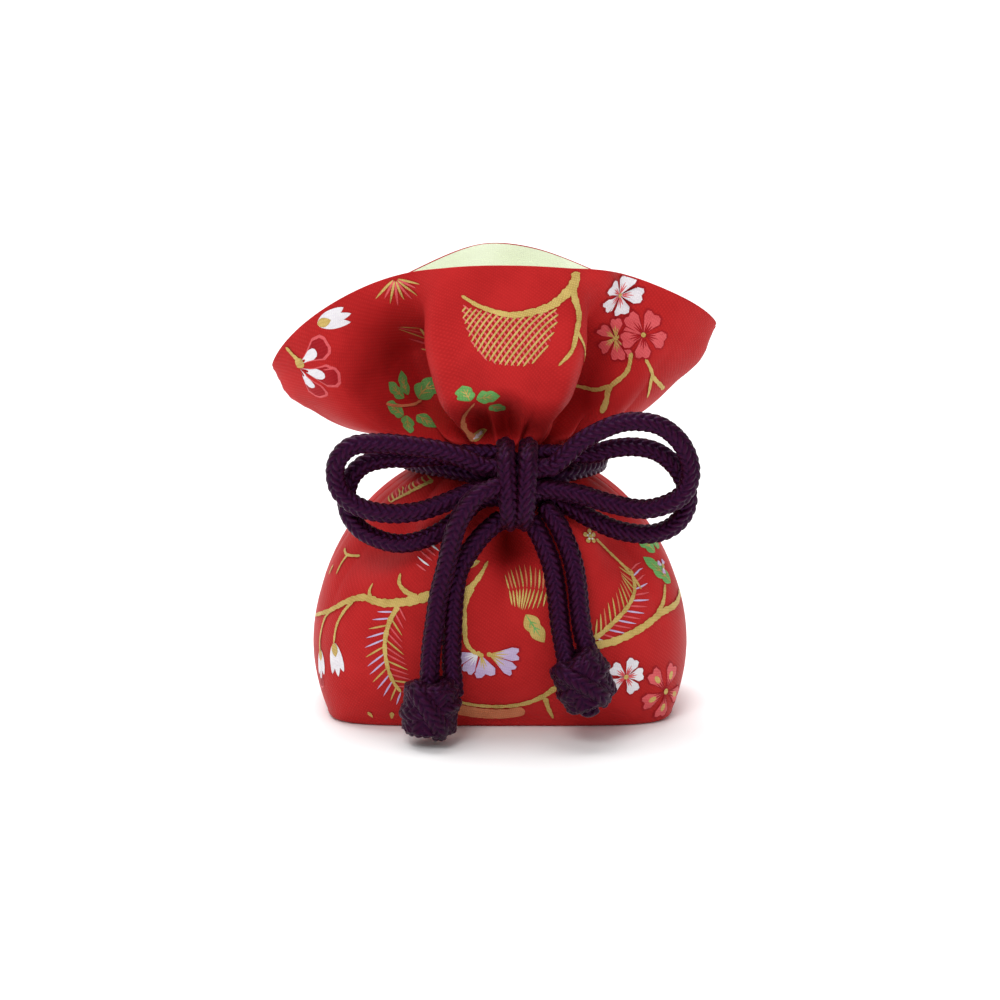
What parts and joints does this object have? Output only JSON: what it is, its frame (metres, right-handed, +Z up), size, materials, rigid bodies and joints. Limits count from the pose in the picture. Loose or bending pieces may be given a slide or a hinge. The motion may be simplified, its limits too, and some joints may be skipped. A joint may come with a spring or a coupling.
{
  "type": "kinchaku drawstring pouch",
  "caption": "Small lined brocade kinchaku pouch with a flat base and flared mouth, gathered at the neck by braided drawcords tied in a front bow with knotted tails.",
  "frame": {"origin": "on the table, under the middle of the flat base", "axes": "+Z up through the neck, -Y towards the front where the bow is, +X to the right as seen from the front"},
  "size_m": [0.0925, 0.0677, 0.0954],
  "materials": {
    "brocade": "woven brocade, satin ground with matte gold and coloured figuring",
    "lining": "thin plain weave, matte",
    "cord": "tight round braid, slight sheen"
  },
  "bodies": {
    "root": {"brocade_bag": "brocade", "lining": "lining", "left_cord_at_neck": "cord", "right_cord_at_neck": "cord", "bow_knot": "cord", "left_loop_front": "cord", "left_loop_back": "cord", "right_loop_front": "cord", "right_loop_back": "cord", "left_tail_front": "cord", "left_tail_back": "cord", "right_tail_inner": "cord", "right_tail_outer": "cord", "left_end_knot": "cord", "right_end_knot": "cord"}
  },
  "joints": []
}
